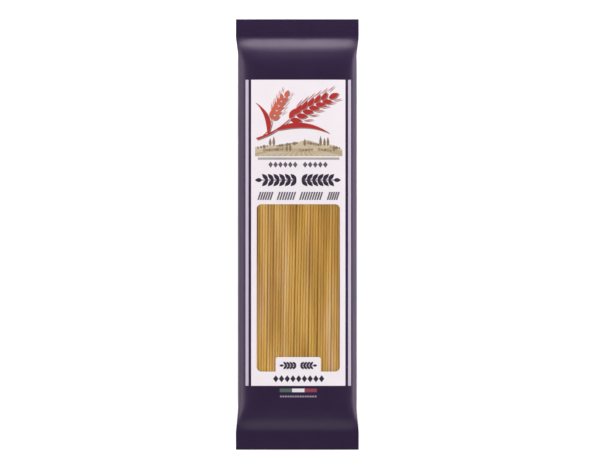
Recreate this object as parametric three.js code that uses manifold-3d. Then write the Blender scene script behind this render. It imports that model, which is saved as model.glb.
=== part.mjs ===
// A sealed 400 g packet of spaghetti, lying on its back with the printed front up.
//
// The packet is a side-gusseted tube of film: flat crimped seals close both ends, a folded seam runs
// down the back, and the sides tuck inwards as the film closes towards each seal. A clear pane in the
// front shows the strands inside.
//
// Millimetres. X runs across the packet, Y towards its top seal, Z up from the table it lies on.
// The origin is under the middle of the packet, on the table.
import * as THREE from 'three';
import { mergeVertices } from 'three/addons/utils/BufferGeometryUtils.js';
import Module from 'manifold-3d';

const wasm = await Module();
wasm.setup();

// Packet
const PACK_LENGTH = 300;
const SEAL_WIDTH = 85.6;
const SEAL_HEIGHT = 12.4;
const BODY_WIDTH = 83;
const SEAL_PLANE = 10.4; // height of the end seals above the table
const FRONT_RISE = 11.6; // from the seal plane up to the front
const BACK_DROP = SEAL_PLANE;
const FRONT_POWER = 3.6; // superellipse powers: a softly domed front and a flatter back
const BACK_POWER = 5;
const BACK_SWELL = 1.03; // the back would hang this much deeper if the table didn't press it flat
const CROWN = 0.5; // the front is lower by this much at the ends of the body than at its middle
const WALL = 0.6; // film, thickened so that it is a workable solid

// Ends: how fast the film rises from a seal, how softly the rise starts, the stretch over which it
// eases into the straight body, and how far the side tuck runs
const SHOULDER = 9.6;
const SHOULDER_POWER = 1.45;
const SHOULDER_EASE = 12;
const SHOULDER_REACH = 26;
const TOP_TUCK = 18;
const BOTTOM_TUCK = 24;
const SEAL_THICKNESS = 0.8;
const FOLD_SKIN = 0.35; // half the thickness of the folded film where it enters a seal
const RIB_PITCH = 1.5;
const RIB_DEPTH = 0.3;
const SEAM_WIDTH = 11;
const SEAM_DEPTH = 0.4; // the seam lies in a shallow channel as deep as it is thick
const CHANNEL_FLOOR = 6; // half widths of the channel, where it is full depth and where it ends
const CHANNEL_EDGE = 9;
const SEAM_BITE = 0.3; // how far the seam is sunk into the back wall
const SEAM_SHORT = 0.4; // the seam stops this short of the packet's ends
const TUBE_BITE = 0.5; // the film's two ends run this far into the seals
const ROOM_START = 3.5; // past each seal, where the film has opened enough to leave room inside

// Clear pane: a round-cornered window with a printed tab standing into its lower edge
const WINDOW_HALF_WIDTH = 28.9;
const WINDOW_TOP = 21;
const WINDOW_BOTTOM = -95.2;
const WINDOW_RADIUS = 3.3;
const TAB_HALF_WIDTH = 15.7;
const TAB_TOP = -85.1;
const TAB_RADIUS = 1.5;
const PRINT_SHIFT = 0.7; // the print sits a little to the right of the packet's middle
const PANE_GAP = 0.3;

// Spaghetti
const STRAND_DIAMETER = 1.8;
const STRAND_PITCH = 1.92;
const STRAND_SIDES = 8;
const STRAND_TOP_END = 129;
const STRAND_BOTTOM_END = -125.6;
const FILM_GAP = 0.35; // between the strands and the film
// Neighbouring strands lie in parallel groups. Each group leans a little, so gaps open between them.
const STRAND_GROUPS = [
  { strands: 5, lean: -0.35 },
  { strands: 4, lean: 0.25 },
  { strands: 6, lean: -0.2 },
  { strands: 5, lean: 0.4 },
  { strands: 4, lean: -0.3 },
  { strands: 5, lean: 0.3 },
];
const GROUP_GAP = 0.45;

const INNER_TOP = PACK_LENGTH / 2 - SEAL_HEIGHT;
const INNER_BOTTOM = -INNER_TOP;

// The quarter of the body's section from the middle of the front or back round to the side, pressed
// flat at a limit. As a curve it can be walked by the length of film, which stays the same where the
// film folds flat.
class BodyQuarter extends THREE.Curve {
  constructor(halfWidth, rise, power, limit = rise) {
    super();
    Object.assign(this, { halfWidth, rise, power, limit, arcLengthDivisions: 600 });
  }

  getPoint(t) {
    const angle = (Math.PI / 2) * (1 - t);
    const flatten = (value) => Math.max(value, 0) ** (2 / this.power);
    const height = Math.min(this.limit, this.rise * flatten(Math.sin(angle)));
    return new THREE.Vector3(this.halfWidth * flatten(Math.cos(angle)), 0, height);
  }
}

const FRONT_QUARTER = new BodyQuarter(BODY_WIDTH / 2, FRONT_RISE, FRONT_POWER);
const BACK_QUARTER = new BodyQuarter(BODY_WIDTH / 2, BACK_DROP * BACK_SWELL, BACK_POWER, BACK_DROP);
const TUCK_DEPTH = (FRONT_QUARTER.getLength() + BACK_QUARTER.getLength()) / 2 - SEAL_WIDTH / 2;

// Shares of a quarter's film length at which it is sampled, with the front crease among them.
function filmShares(quarter) {
  const crease = SEAL_WIDTH / 2 / quarter.getLength();
  const face = [0, 0.14, 0.21, 0.36, 0.51, 0.65, 0.74, 0.82, 0.91, 1].map((share) => share * crease);
  const side = [0.35, 0.7, 1].map((share) => crease + share * (1 - crease));
  return { crease, shares: [...face, ...side] };
}

// The room inside and the bundle in it are out of sight, so they are sampled more coarsely.
const HIDDEN_SHARES = [0, 0.3, 0.52, 0.68, 0.8, 0.89, 0.95, 1];

// How the film closes towards the nearer seal: rise goes from 0 at the seal to 1 on the body, and
// tuck from 1 at the seal to 0 on the body.
function closing(y) {
  const nearTop = y > 0;
  const distance = Math.max(0, nearTop ? INNER_TOP - y : y - INNER_BOTTOM);
  const tuckLength = nearTop ? TOP_TUCK : BOTTOM_TUCK;
  const eased = 1 - THREE.MathUtils.smoothstep(distance, SHOULDER_EASE, SHOULDER_REACH);
  const rise = 1 - Math.exp(-((distance / SHOULDER) ** SHOULDER_POWER)) * eased;
  const tuck = 1 - THREE.MathUtils.smoothstep(distance, -tuckLength / 3, tuckLength);
  const atSeal = 1 - THREE.MathUtils.smoothstep(0, -tuckLength / 3, tuckLength);
  return { rise, tuck: tuck / atSeal };
}

function crown(y) {
  return 1 - (CROWN / FRONT_RISE) * (y / INNER_TOP) ** 2;
}

// One quarter of the film at station y, as x and height above the seal plane.
function filmQuarter(quarter, y, heightShare) {
  const { crease, shares } = filmShares(quarter);
  const { rise, tuck } = closing(y);
  return shares.map((share) => {
    const body = quarter.getPointAt(share);
    const past = Math.max(0, (share - crease) / (1 - crease));
    const flatX = past > 0 ? SEAL_WIDTH / 2 - TUCK_DEPTH * past : (SEAL_WIDTH / 2) * (share / crease);
    const flatZ = FOLD_SKIN * (1 - past);
    return {
      x: THREE.MathUtils.lerp(body.x, flatX, tuck),
      z: THREE.MathUtils.lerp(flatZ, body.z * heightShare, rise),
    };
  });
}

// A closed ring of points from a front quarter and a back quarter, mirrored left to right.
function ringOf(front, back, y) {
  const right = [
    ...front.map(({ x, z }) => [x, z]),
    ...back.slice(0, -1).reverse().map(({ x, z }) => [x, -z]),
  ];
  const left = right.slice(1, -1).reverse().map(([x, z]) => [-x, z]);
  return [...right, ...left].map(([x, z]) => new THREE.Vector3(x, y, SEAL_PLANE + z));
}

function filmRing(y) {
  const back = filmQuarter(BACK_QUARTER, y, 1).map(({ x, z }) => {
    const channel = SEAM_DEPTH * (1 - THREE.MathUtils.smoothstep(x, CHANNEL_FLOOR, CHANNEL_EDGE));
    return { x, z: z - channel * closing(y).rise };
  });
  return ringOf(filmQuarter(FRONT_QUARTER, y, crown(y)), back, y);
}

// The height of the room inside the film at y, and its half width clear of the tucks. Looking at the
// film a wall's thickness nearer the seal keeps the sloping shoulders at full thickness.
function roomAt(y, wall) {
  const nearer = y + Math.sign(y) * wall;
  const { rise, tuck } = closing(nearer);
  const tuckedSide = THREE.MathUtils.lerp(BODY_WIDTH / 2, SEAL_WIDTH / 2 - TUCK_DEPTH, tuck);
  return {
    halfWidth: tuckedSide - wall,
    front: FRONT_RISE * crown(nearer) * rise - wall,
    back: (BACK_DROP - SEAM_DEPTH) * rise - wall,
  };
}

function roomRing(y, wall, frontTrim = 0) {
  const room = roomAt(y, wall);
  const quarter = (rise, power) => {
    const curve = new BodyQuarter(room.halfWidth, rise, power);
    return HIDDEN_SHARES.map((share) => curve.getPointAt(share));
  };
  return ringOf(quarter(room.front - frontTrim, FRONT_POWER), quarter(room.back, BACK_POWER), y);
}

// Height of the inside face of the front film at a point.
function insideFront(x, y) {
  const { halfWidth, front } = roomAt(y, WALL);
  const share = Math.min(1, Math.abs(x) / halfWidth);
  return SEAL_PLANE + front * (1 - share ** FRONT_POWER) ** (1 / FRONT_POWER);
}

// A closed skin over rings of equally many points, with a flat cap at each end.
function loft(rings) {
  const count = rings[0].length;
  const positions = rings.flat().flatMap((p) => [p.x, p.y, p.z]);
  const index = [];
  for (let r = 0; r + 1 < rings.length; r++) {
    for (let i = 0; i < count; i++) {
      const a = r * count + i;
      const b = r * count + ((i + 1) % count);
      index.push(a, b, a + count, b, b + count, a + count);
    }
  }
  // Cap triangles always come out counter-clockwise, so they are turned to match a clockwise ring.
  const cap = (ring) => {
    const outline = ring.map((p) => new THREE.Vector2(p.x, p.z));
    const faces = THREE.ShapeUtils.triangulateShape(outline, []);
    return THREE.ShapeUtils.isClockWise(outline) ? faces.map(([a, b, c]) => [a, c, b]) : faces;
  };
  const last = (rings.length - 1) * count;
  for (const [a, b, c] of cap(rings[0])) index.push(a, c, b);
  for (const [a, b, c] of cap(rings.at(-1))) index.push(last + a, last + b, last + c);
  const geometry = new THREE.BufferGeometry();
  geometry.setAttribute('position', new THREE.Float32BufferAttribute(positions, 3));
  geometry.setIndex(index);
  return geometry;
}

// A closed geometry as a solid that can be joined and cut.
function solid(geometry) {
  const bare = geometry.clone();
  bare.deleteAttribute('normal');
  bare.deleteAttribute('uv');
  const merged = mergeVertices(bare, 1e-4);
  const triVerts = new Uint32Array(merged.index.array);
  const vertProperties = new Float32Array(merged.attributes.position.array);
  const made = new wasm.Manifold(new wasm.Mesh({ numProp: 3, vertProperties, triVerts }));
  if (made.volume() > 0) return made;
  for (let i = 0; i < triVerts.length; i += 3) {
    [triVerts[i + 1], triVerts[i + 2]] = [triVerts[i + 2], triVerts[i + 1]];
  }
  return new wasm.Manifold(new wasm.Mesh({ numProp: 3, vertProperties, triVerts }));
}

function meshOf(name, made, material) {
  const { vertProperties, triVerts, numProp } = made.getMesh();
  const positions = new Float32Array((vertProperties.length / numProp) * 3);
  for (let i = 0; i < positions.length / 3; i++) {
    positions.set(vertProperties.subarray(i * numProp, i * numProp + 3), i * 3);
  }
  const geometry = new THREE.BufferGeometry();
  geometry.setAttribute('position', new THREE.BufferAttribute(positions, 3));
  geometry.setIndex(new THREE.BufferAttribute(new Uint32Array(triVerts), 1));
  geometry.computeVertexNormals();
  const mesh = new THREE.Mesh(geometry, material);
  mesh.name = name;
  return mesh;
}

// Stations along the packet, close together where the film bends and far apart along the body.
function stations(margin) {
  const near = [0, 0.055, 0.12, 0.2, 0.295, 0.41, 0.55, 0.73, 1];
  const top = near.map((share) => INNER_TOP - share * SHOULDER_REACH);
  const bottom = near.map((share) => INNER_BOTTOM + share * SHOULDER_REACH);
  const body = [-0.62, -0.37, -0.12, 0.12, 0.37, 0.62].map((share) => share * INNER_TOP);
  const all = [...bottom, ...body, ...top.reverse()];
  return all.filter((y) => y >= INNER_BOTTOM + margin && y <= INNER_TOP - margin);
}

// Crimped end seal: both faces follow the same row of ribs across the packet.
function endSeal(end) {
  const length = SEAL_HEIGHT;
  const steps = Math.round((2 * length) / RIB_PITCH);
  const line = [];
  for (let i = 0; i <= steps; i++) {
    const rib = i === 0 || i === steps ? 0 : ((i % 2) * 2 - 1) * (RIB_DEPTH / 2);
    line.push(new THREE.Vector2((length * i) / steps, rib));
  }
  const half = SEAL_THICKNESS / 2;
  const lower = line.map(({ x, y }) => new THREE.Vector2(x, y - half));
  const upper = line.map(({ x, y }) => new THREE.Vector2(x, y + half)).reverse();
  const profile = new THREE.Shape([...lower, ...upper]);
  const geometry = new THREE.ExtrudeGeometry(profile, { depth: SEAL_WIDTH, bevelEnabled: false });
  geometry.translate(0, 0, -SEAL_WIDTH / 2);
  // The profile's own X runs out along the packet, its Y up, and its depth across.
  const outward = end === 'top' ? 1 : -1;
  const across = new THREE.Vector3(outward, 0, 0);
  const along = new THREE.Vector3(0, outward, 0);
  const up = new THREE.Vector3(0, 0, 1);
  geometry.applyMatrix4(new THREE.Matrix4().makeBasis(along, up, across));
  geometry.translate(0, outward * INNER_TOP, SEAL_PLANE);
  return solid(geometry);
}

// Back seam: the two edges of the sheet sealed together and folded flat, from end to end.
function backSeam() {
  const sealFace = SEAL_PLANE - SEAL_THICKNESS / 2 - RIB_DEPTH / 2;
  const run = [
    -PACK_LENGTH / 2 + SEAM_SHORT,
    ...stations(0),
    PACK_LENGTH / 2 - SEAM_SHORT,
  ];
  const rings = run.map((y) => {
    const onSeal = Math.abs(y) >= INNER_TOP;
    const channelFloor = SEAL_PLANE - (BACK_DROP - SEAM_DEPTH) * closing(y).rise;
    const back = onSeal ? sealFace : Math.min(sealFace, channelFloor);
    const half = SEAM_WIDTH / 2;
    const bottom = back - SEAM_DEPTH;
    const top = back + (onSeal ? SEAL_THICKNESS / 2 : SEAM_BITE);
    return [
      new THREE.Vector3(-half, y, bottom),
      new THREE.Vector3(half, y, bottom),
      new THREE.Vector3(half, y, top),
      new THREE.Vector3(-half, y, top),
    ];
  });
  return solid(loft(rings));
}

// Everything above the seal plane inside the window's outline, drawn in by a margin.
function windowPrism(margin) {
  const right = WINDOW_HALF_WIDTH - margin;
  const top = WINDOW_TOP - margin;
  const bottom = WINDOW_BOTTOM + margin;
  const corner = WINDOW_RADIUS - margin;
  const tabRight = TAB_HALF_WIDTH + margin;
  const tabTop = TAB_TOP + margin;
  const tabCorner = TAB_RADIUS + margin;
  const outline = new THREE.Shape();
  outline.moveTo(tabRight, bottom);
  outline.lineTo(right - corner, bottom);
  outline.absarc(right - corner, bottom + corner, corner, -Math.PI / 2, 0, false);
  outline.absarc(right - corner, top - corner, corner, 0, Math.PI / 2, false);
  outline.absarc(-right + corner, top - corner, corner, Math.PI / 2, Math.PI, false);
  outline.absarc(-right + corner, bottom + corner, corner, Math.PI, (3 * Math.PI) / 2, false);
  outline.lineTo(-tabRight, bottom);
  outline.absarc(-tabRight + tabCorner, tabTop - tabCorner, tabCorner, Math.PI, Math.PI / 2, true);
  outline.absarc(tabRight - tabCorner, tabTop - tabCorner, tabCorner, Math.PI / 2, 0, true);
  outline.closePath();
  const depth = 2 * FRONT_RISE;
  const geometry = new THREE.ExtrudeGeometry(outline, { depth, bevelEnabled: false, curveSegments: 6 });
  geometry.translate(PRINT_SHIFT, 0, SEAL_PLANE);
  return solid(geometry);
}

// The whole film as a hollow tube, before the pane is parted from it.
function filmShell() {
  const run = stations(0);
  const rings = [filmRing(run[0]), ...run.map(filmRing), filmRing(run.at(-1))];
  rings[0].forEach((p) => { p.y -= TUBE_BITE; });
  rings.at(-1).forEach((p) => { p.y += TUBE_BITE; });
  const room = solid(loft(stations(ROOM_START).map((y) => roomRing(y, WALL))));
  return solid(loft(rings))
    .add(endSeal('top'))
    .add(endSeal('bottom'))
    .add(backSeam())
    .subtract(room);
}

// Stations along the bundle, with its ends drawn in by a margin.
function bundleStations(margin) {
  const bottom = STRAND_BOTTOM_END + margin;
  const top = STRAND_TOP_END - margin;
  return [0, 0.05, 0.5, 0.94, 1].map((share) => THREE.MathUtils.lerp(bottom, top, share));
}

// One strand lying just under the front film, its ends following the film down.
function strand(start, lean) {
  const radius = STRAND_DIAMETER / 2;
  const rings = bundleStations(0).map((y) => {
    const x = start + lean * (y / STRAND_TOP_END);
    const z = insideFront(x, y) - FILM_GAP - radius;
    const ring = [];
    for (let i = 0; i < STRAND_SIDES; i++) {
      const angle = (2 * Math.PI * (i + 0.5)) / STRAND_SIDES;
      ring.push(new THREE.Vector3(x + radius * Math.cos(angle), y, z + radius * Math.sin(angle)));
    }
    return ring;
  });
  return solid(loft(rings));
}

// The bundle: a core that fills the packet, with the strands that show through the pane fused on top.
function spaghettiBundle() {
  const coreEnd = 1; // the strands stand this far past the core
  const coreRings = bundleStations(coreEnd).map((y) => roomRing(y, WALL + FILM_GAP, STRAND_DIAMETER / 2));
  let bundle = solid(loft(coreRings));
  const count = STRAND_GROUPS.reduce((sum, group) => sum + group.strands, 0);
  const width = (count - 1) * STRAND_PITCH + (STRAND_GROUPS.length - 1) * GROUP_GAP;
  let x = PRINT_SHIFT - width / 2;
  for (const { strands, lean } of STRAND_GROUPS) {
    for (let i = 0; i < strands; i++) {
      bundle = bundle.add(strand(x, lean));
      x += STRAND_PITCH;
    }
    x += GROUP_GAP;
  }
  return bundle;
}

const filmMaterial = new THREE.MeshStandardMaterial({ color: 0x31263f, roughness: 0.35, metalness: 0 });
const paneMaterial = new THREE.MeshStandardMaterial({
  color: 0xffffff,
  roughness: 0.1,
  metalness: 0,
  transparent: true,
  opacity: 0.25,
});
const pastaMaterial = new THREE.MeshStandardMaterial({ color: 0xc9a05a, roughness: 0.55, metalness: 0 });

const shell = filmShell();
const packet = new THREE.Group();
packet.name = 'pasta_packet';
packet.add(
  meshOf('printed_film', shell.subtract(windowPrism(0)), filmMaterial),
  meshOf('clear_window', shell.intersect(windowPrism(PANE_GAP)), paneMaterial),
  meshOf('spaghetti', spaghettiBundle(), pastaMaterial),
);

export default packet;
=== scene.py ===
# %% [markdown]
# A packet of spaghetti in printed film
#
# The real object is a tube of thin printed film, sealed flat at both ends, with a clear window in its
# front and dry spaghetti inside. It lies on its back on a white table, and the camera looks straight
# down on it.
#
# Film is one sheet, so it is made here as one surface. A formula turns a place on the flat sheet into a
# place in space, and the print is cut into that same sheet, so no printed shape has to float above it.
# Sizes are in millimetres until a mesh is made, because that is how a packet is measured.

# %% Load the frame
import math
import random

import bmesh
import bpy
import numpy as np
from mathutils.geometry import delaunay_2d_cdt
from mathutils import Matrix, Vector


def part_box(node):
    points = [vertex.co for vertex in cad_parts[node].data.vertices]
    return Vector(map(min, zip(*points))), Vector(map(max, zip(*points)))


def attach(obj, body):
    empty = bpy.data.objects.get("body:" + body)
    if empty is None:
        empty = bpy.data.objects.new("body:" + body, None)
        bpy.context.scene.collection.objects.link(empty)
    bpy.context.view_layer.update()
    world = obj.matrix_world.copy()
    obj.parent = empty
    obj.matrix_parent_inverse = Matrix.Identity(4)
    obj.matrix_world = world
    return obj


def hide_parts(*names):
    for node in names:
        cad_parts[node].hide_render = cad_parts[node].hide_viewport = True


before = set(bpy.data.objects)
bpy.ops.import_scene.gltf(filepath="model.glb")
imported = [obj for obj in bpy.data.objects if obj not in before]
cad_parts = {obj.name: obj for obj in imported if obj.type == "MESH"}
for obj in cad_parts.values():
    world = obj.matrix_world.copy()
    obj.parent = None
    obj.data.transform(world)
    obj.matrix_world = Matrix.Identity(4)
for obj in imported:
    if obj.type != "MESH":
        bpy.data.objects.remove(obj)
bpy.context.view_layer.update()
MM = 0.001
TINY = 1e-6

# %% [markdown]
# The camera
#
# A product photograph is taken from far away through a long lens, so that the sides of the packet stay
# parallel. Here the lens is 300 mm, and its height follows from the width that the picture shows at the
# height of the end seals. The packet lies a little left of the picture's middle, so the camera stands a
# little to its right.

# %% Camera
PICTURE_WIDTH_PX = 613
MM_PER_PX = 0.6967
PACKET_OFF_CENTRE_PX = 9.2
LENS_MM = 300
SENSOR_MM = 36
SEAL_PLANE = 10.4

picture_width = PICTURE_WIDTH_PX * MM_PER_PX
camera_height = SEAL_PLANE + picture_width * LENS_MM / SENSOR_MM
camera_data = bpy.data.cameras.new("camera")
camera_data.lens = LENS_MM
camera_data.sensor_width = SENSOR_MM
camera_data.clip_end = 20
camera = bpy.data.objects.new("camera", camera_data)
camera.location = (PACKET_OFF_CENTRE_PX * MM_PER_PX * MM, 0, camera_height * MM)
bpy.context.scene.collection.objects.link(camera)
bpy.context.scene.camera = camera
print(f"The picture is {picture_width:.0f} mm wide at the height of the seals")

# %% [markdown]
# The film as a walk round the packet
#
# Film bends but doesn't stretch, so the honest way to describe it is by lengths along the sheet. The
# section through the middle of the packet is a superellipse: a softly domed front and a flatter back.
# It is walked once in small steps, and the table of length walked, x and z then answers where any
# length along the film lies. A curve object could give the same shape, but not these lengths.

# %% Sizes of the packet
film_low, film_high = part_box("printed_film")
PACK_LENGTH = (film_high.y - film_low.y) / MM
SEAL_WIDTH = (film_high.x - film_low.x) / MM
SEAL_HALF = SEAL_WIDTH / 2
SEAL_HEIGHT = 12.4
PACK_END = PACK_LENGTH / 2
INNER_END = PACK_END - SEAL_HEIGHT
BODY_WIDTH = 83.0
FRONT_RISE = 11.6
BACK_DROP = SEAL_PLANE
FRONT_POWER = 3.6
BACK_POWER = 5.0
BACK_SWELL = 1.03
CROWN = 0.5
WALK_STEPS = 6001
print(f"The packet is {PACK_LENGTH:.1f} mm long and {SEAL_WIDTH:.1f} mm wide over its seals")


# %% One quarter of the body's section
def body_quarter(rise, power, limit):
    """Length walked, x and z from the middle of the front or back round to the side."""
    step = np.linspace(0, 1, WALK_STEPS)
    eased = step**3 / (step**3 + (1 - step) ** 3)
    angle = (np.pi / 2) * (1 - eased)
    x = (BODY_WIDTH / 2) * np.clip(np.cos(angle), 0, 1) ** (2 / power)
    z = np.minimum(limit, rise * np.clip(np.sin(angle), 0, 1) ** (2 / power))
    walked = np.concatenate([[0], np.cumsum(np.hypot(np.diff(x), np.diff(z)))])
    return walked, x, z


FRONT = body_quarter(FRONT_RISE, FRONT_POWER, FRONT_RISE)
BACK = body_quarter(BACK_DROP * BACK_SWELL, BACK_POWER, BACK_DROP)
FRONT_LENGTH = FRONT[0][-1]
BACK_LENGTH = BACK[0][-1]
HALF_ROUND = FRONT_LENGTH + BACK_LENGTH
TUCK_DEPTH = HALF_ROUND / 2 - SEAL_HALF
print(f"Half way round is {HALF_ROUND:.1f} mm of film, and each side tucks in by {TUCK_DEPTH:.1f} mm")

# %% [markdown]
# How the ends close
#
# Towards each seal the film comes down from the body to the seal's plane, while its sides tuck inwards
# like the gusset of a paper bag. Two numbers say how far along it is: rise goes from 0 at the seal to 1
# on the body, and tuck goes from 1 at the seal to 0 on the body. Every point is then mixed between its
# place on the flat folded tube and its place on the body. The rise starts softly, because the film
# leaves the seal nearly flat before the contents lift it, and it also ends softly. The creases of the
# tucked sides hold the front out flat there, so the front's section grows squarer towards a seal.

# %% Shoulders and seals
SHOULDER = 9.6
SHOULDER_POWER = 1.45
SHOULDER_EASE = 12.0
SHOULDER_REACH = 26.0
SQUARE_NEAR = 6.0
SQUARE_FAR = 24.0
TOP_TUCK = 18.0
BOTTOM_TUCK = 24.0
FOLD_SKIN = 0.35
SEAL_SKIN = 0.14
SKIN_BLEND = (1.0, 1.5)
RIB_PITCH = 1.5
RIB_HEIGHT = 0.09
RIBS_BEGIN = (0.3, 1.2)
RIBS_END = (SEAL_HEIGHT - 1.2, SEAL_HEIGHT - 0.4)
SEAM_THICKNESS = 0.4
CHANNEL_FLOOR = 6.0
CHANNEL_EDGE = 9.0


def smoothstep(value, low, high):
    share = np.clip((value - low) / (high - low), 0, 1)
    return share * share * (3 - 2 * share)


def closing(y):
    """Rise and tuck of the film at station y."""
    distance = np.maximum(0, INNER_END - np.abs(y))
    tuck_length = np.where(y > 0, TOP_TUCK, BOTTOM_TUCK)
    into_seal = -tuck_length / 3
    eased = 1 - smoothstep(distance, SHOULDER_EASE, SHOULDER_REACH)
    rise = 1 - np.exp(-((distance / SHOULDER) ** SHOULDER_POWER)) * eased
    tuck = 1 - smoothstep(distance, into_seal, tuck_length)
    at_seal = 1 - smoothstep(0, into_seal, tuck_length)
    return rise, tuck / at_seal


def seal_ribs(y):
    """Height of the crimp ribs that the hot sealing bars press across both ends."""
    into_seal = np.abs(y) - INNER_END
    inside = smoothstep(into_seal, *RIBS_BEGIN) * (1 - smoothstep(into_seal, *RIBS_END))
    return inside * RIB_HEIGHT * np.sin(2 * np.pi * into_seal / RIB_PITCH)


# %% Where the film lies
def film_place(along, y):
    """x and z of the film, a length along it from the front's middle, at station y."""
    walked_round = np.abs(along)
    on_front = walked_round <= FRONT_LENGTH
    walked = np.where(on_front, walked_round, HALF_ROUND - walked_round)
    length = np.where(on_front, FRONT_LENGTH, BACK_LENGTH)
    body_x = np.where(on_front, np.interp(walked, FRONT[0], FRONT[1]), np.interp(walked, BACK[0], BACK[1]))
    body_z = np.where(on_front, np.interp(walked, FRONT[0], FRONT[2]), np.interp(walked, BACK[0], BACK[2]))
    share = body_z / FRONT_RISE
    squarer = 1 - smoothstep(INNER_END - np.abs(y), SQUARE_NEAR, SQUARE_FAR)
    body_z = np.where(on_front, body_z + FRONT_RISE * squarer * share**2 * (1 - share), body_z)
    past_crease = np.clip((walked - SEAL_HALF) / (length - SEAL_HALF), 0, 1)
    flat_x = np.where(past_crease > 0, SEAL_HALF - TUCK_DEPTH * past_crease, walked)
    in_seal = smoothstep(np.abs(y), INNER_END - SKIN_BLEND[0], INNER_END + SKIN_BLEND[1])
    skin = FOLD_SKIN + (SEAL_SKIN - FOLD_SKIN) * in_seal
    rise, tuck = closing(y)
    crown = np.where(on_front, 1 - (CROWN / FRONT_RISE) * (y / INNER_END) ** 2, 1)
    channel = SEAM_THICKNESS * (1 - smoothstep(walked, CHANNEL_FLOOR, CHANNEL_EDGE))
    body_height = body_z * crown - np.where(on_front, 0, channel)
    x = body_x + (flat_x - body_x) * tuck
    z = skin * (1 - past_crease) * (1 - rise) + body_height * rise
    return np.sign(along) * x, SEAL_PLANE + np.where(on_front, z, -z) + seal_ribs(y)


def along_film(x):
    """The length along the front film that lies above a given x on the body."""
    return np.sign(x) * np.interp(np.abs(x), FRONT[1], FRONT[0])


_, middle_z = film_place(np.array([0.0]), np.array([0.0]))
print(f"The front's middle is {middle_z[0]:.2f} mm above the table")

# %% [markdown]
# Small dents and pleats
#
# No real packet is a perfect surface. Where the film is gathered into a seal it makes soft pleats across
# the shoulder, and on the long faces it lies in shallow waves over the bundle. Both are a few tenths of
# a millimetre, and both only push the film inwards, so the packet keeps its size. Sums of a few sine
# waves whose lengths don't divide each other look irregular and always come out the same.


# %% Ripples
def uneven(value, lengths, shifts):
    """A soft irregular wave between 0 and 1."""
    waves = [np.sin(2 * np.pi * value / length + shift) for length, shift in zip(lengths, shifts)]
    return 0.5 + 0.5 * np.mean(waves, axis=0)


PLEAT_DEPTH = 0.3
PLEATS_BEGIN = (0, 4)
PLEATS_END = (7, 26)
PLEAT_FAN = 0.15
PLEAT_WAVES = ((13.7, 8.3, 5.9), (0.4, 1.9, 3.1))
PLEAT_GROUPS = ((31.0, 22.0), (1.0, 0.2))
BOTTOM_SHIFT = 18.9
WAVE_DEPTH = 0.22
WAVES_BEGIN = (4, 30)
WAVE_SLANT = 0.6
LONG_WAVES = ((61.0, 37.0, 23.5), (0.0, 2.2, 4.0))
CROSS_WAVES = ((27.0, 41.0), (1.2, 5.0))
SLOPE_REACH = 0.2
CALM_SEAM = 6.0
RESTING_ZONE = (8.5, 10.0)


def ripple(along, y):
    """How far the film is pushed in, at a place on the sheet."""
    distance = np.maximum(0, INNER_END - np.abs(y))
    shoulder_zone = smoothstep(distance, *PLEATS_BEGIN) * (1 - smoothstep(distance, *PLEATS_END))
    pleats = uneven(along + PLEAT_FAN * distance * np.sign(along), *PLEAT_WAVES)
    pleats = pleats * uneven(along + np.where(y > 0, 0, BOTTOM_SHIFT), *PLEAT_GROUPS)
    body_zone = smoothstep(distance, *WAVES_BEGIN)
    waves = uneven(y + WAVE_SLANT * along, *LONG_WAVES) * uneven(along, *CROSS_WAVES)
    return PLEAT_DEPTH * shoulder_zone * pleats + WAVE_DEPTH * body_zone * waves


def film_points(along, y):
    """Places in space, in metres, of places on the sheet, with the ripples pushed in."""
    ahead_x, ahead_z = film_place(along + SLOPE_REACH, y)
    behind_x, behind_z = film_place(along - SLOPE_REACH, y)
    across = ahead_x - behind_x
    drop = ahead_z - behind_z
    span = np.maximum(np.hypot(across, drop), TINY)
    _, tuck = closing(y)
    depth = ripple(along, y) * (1 - tuck**4)
    depth = depth * smoothstep(HALF_ROUND - np.abs(along), CHANNEL_EDGE, CHANNEL_EDGE + CALM_SEAM)
    x, z = film_place(along, y)
    depth = depth * (1 - smoothstep(SEAL_PLANE - z, *RESTING_ZONE))
    return np.column_stack([x + depth * drop / span, y, z - depth * across / span]) * MM


# %% [markdown]
# The print
#
# A printer lays flat fields of ink on the sheet: a white panel with a window left open in it, two thin
# stripes beside it, and small ornaments. Each field is an outline of points, measured from the middle of
# the print. A few drawing functions make all of them, and each returns one closed outline.

# %% Fineness of the print
PRINT_SHIFT = 0.7
ARC_STEP = 0.5
LEAF_STEP = 0.55


# %% Outlines: boxes, arcs and leaves
def arc(centre_x, centre_y, radius, start, end):
    """Points on an arc, between two angles in degrees."""
    count = max(3, int(abs(math.radians(end - start)) * radius / ARC_STEP) + 1)
    angles = [math.radians(start + (end - start) * i / count) for i in range(count + 1)]
    return [(centre_x + radius * math.cos(a), centre_y + radius * math.sin(a)) for a in angles]


def box(left, bottom, right, top):
    return [(left, bottom), (right, bottom), (right, top), (left, top)]


def dot(x, y, radius):
    return arc(x, y, radius, 0, 360)[:-1]


def turned(points, x, y, degrees):
    """Points drawn about the origin, turned and moved to their place."""
    turn = math.radians(degrees)
    cos, sin = math.cos(turn), math.sin(turn)
    return [(x + px * cos - py * sin, y + px * sin + py * cos) for px, py in points]


def leaf(x, y, length, width, degrees, fullness=0.45):
    """A pointed leaf or kernel that starts at x, y and points along degrees."""
    count = max(5, round(length / LEAF_STEP))
    shares = [i / count for i in range(count + 1)]
    swell = [math.sin(math.pi * share ** (2 * fullness)) * width / 2 for share in shares]
    lower = [(length * share, -half) for share, half in zip(shares, swell)]
    upper = [(length * share, half) for share, half in zip(shares, swell)][1:-1]
    return turned(lower + upper[::-1], x, y, degrees)


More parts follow.
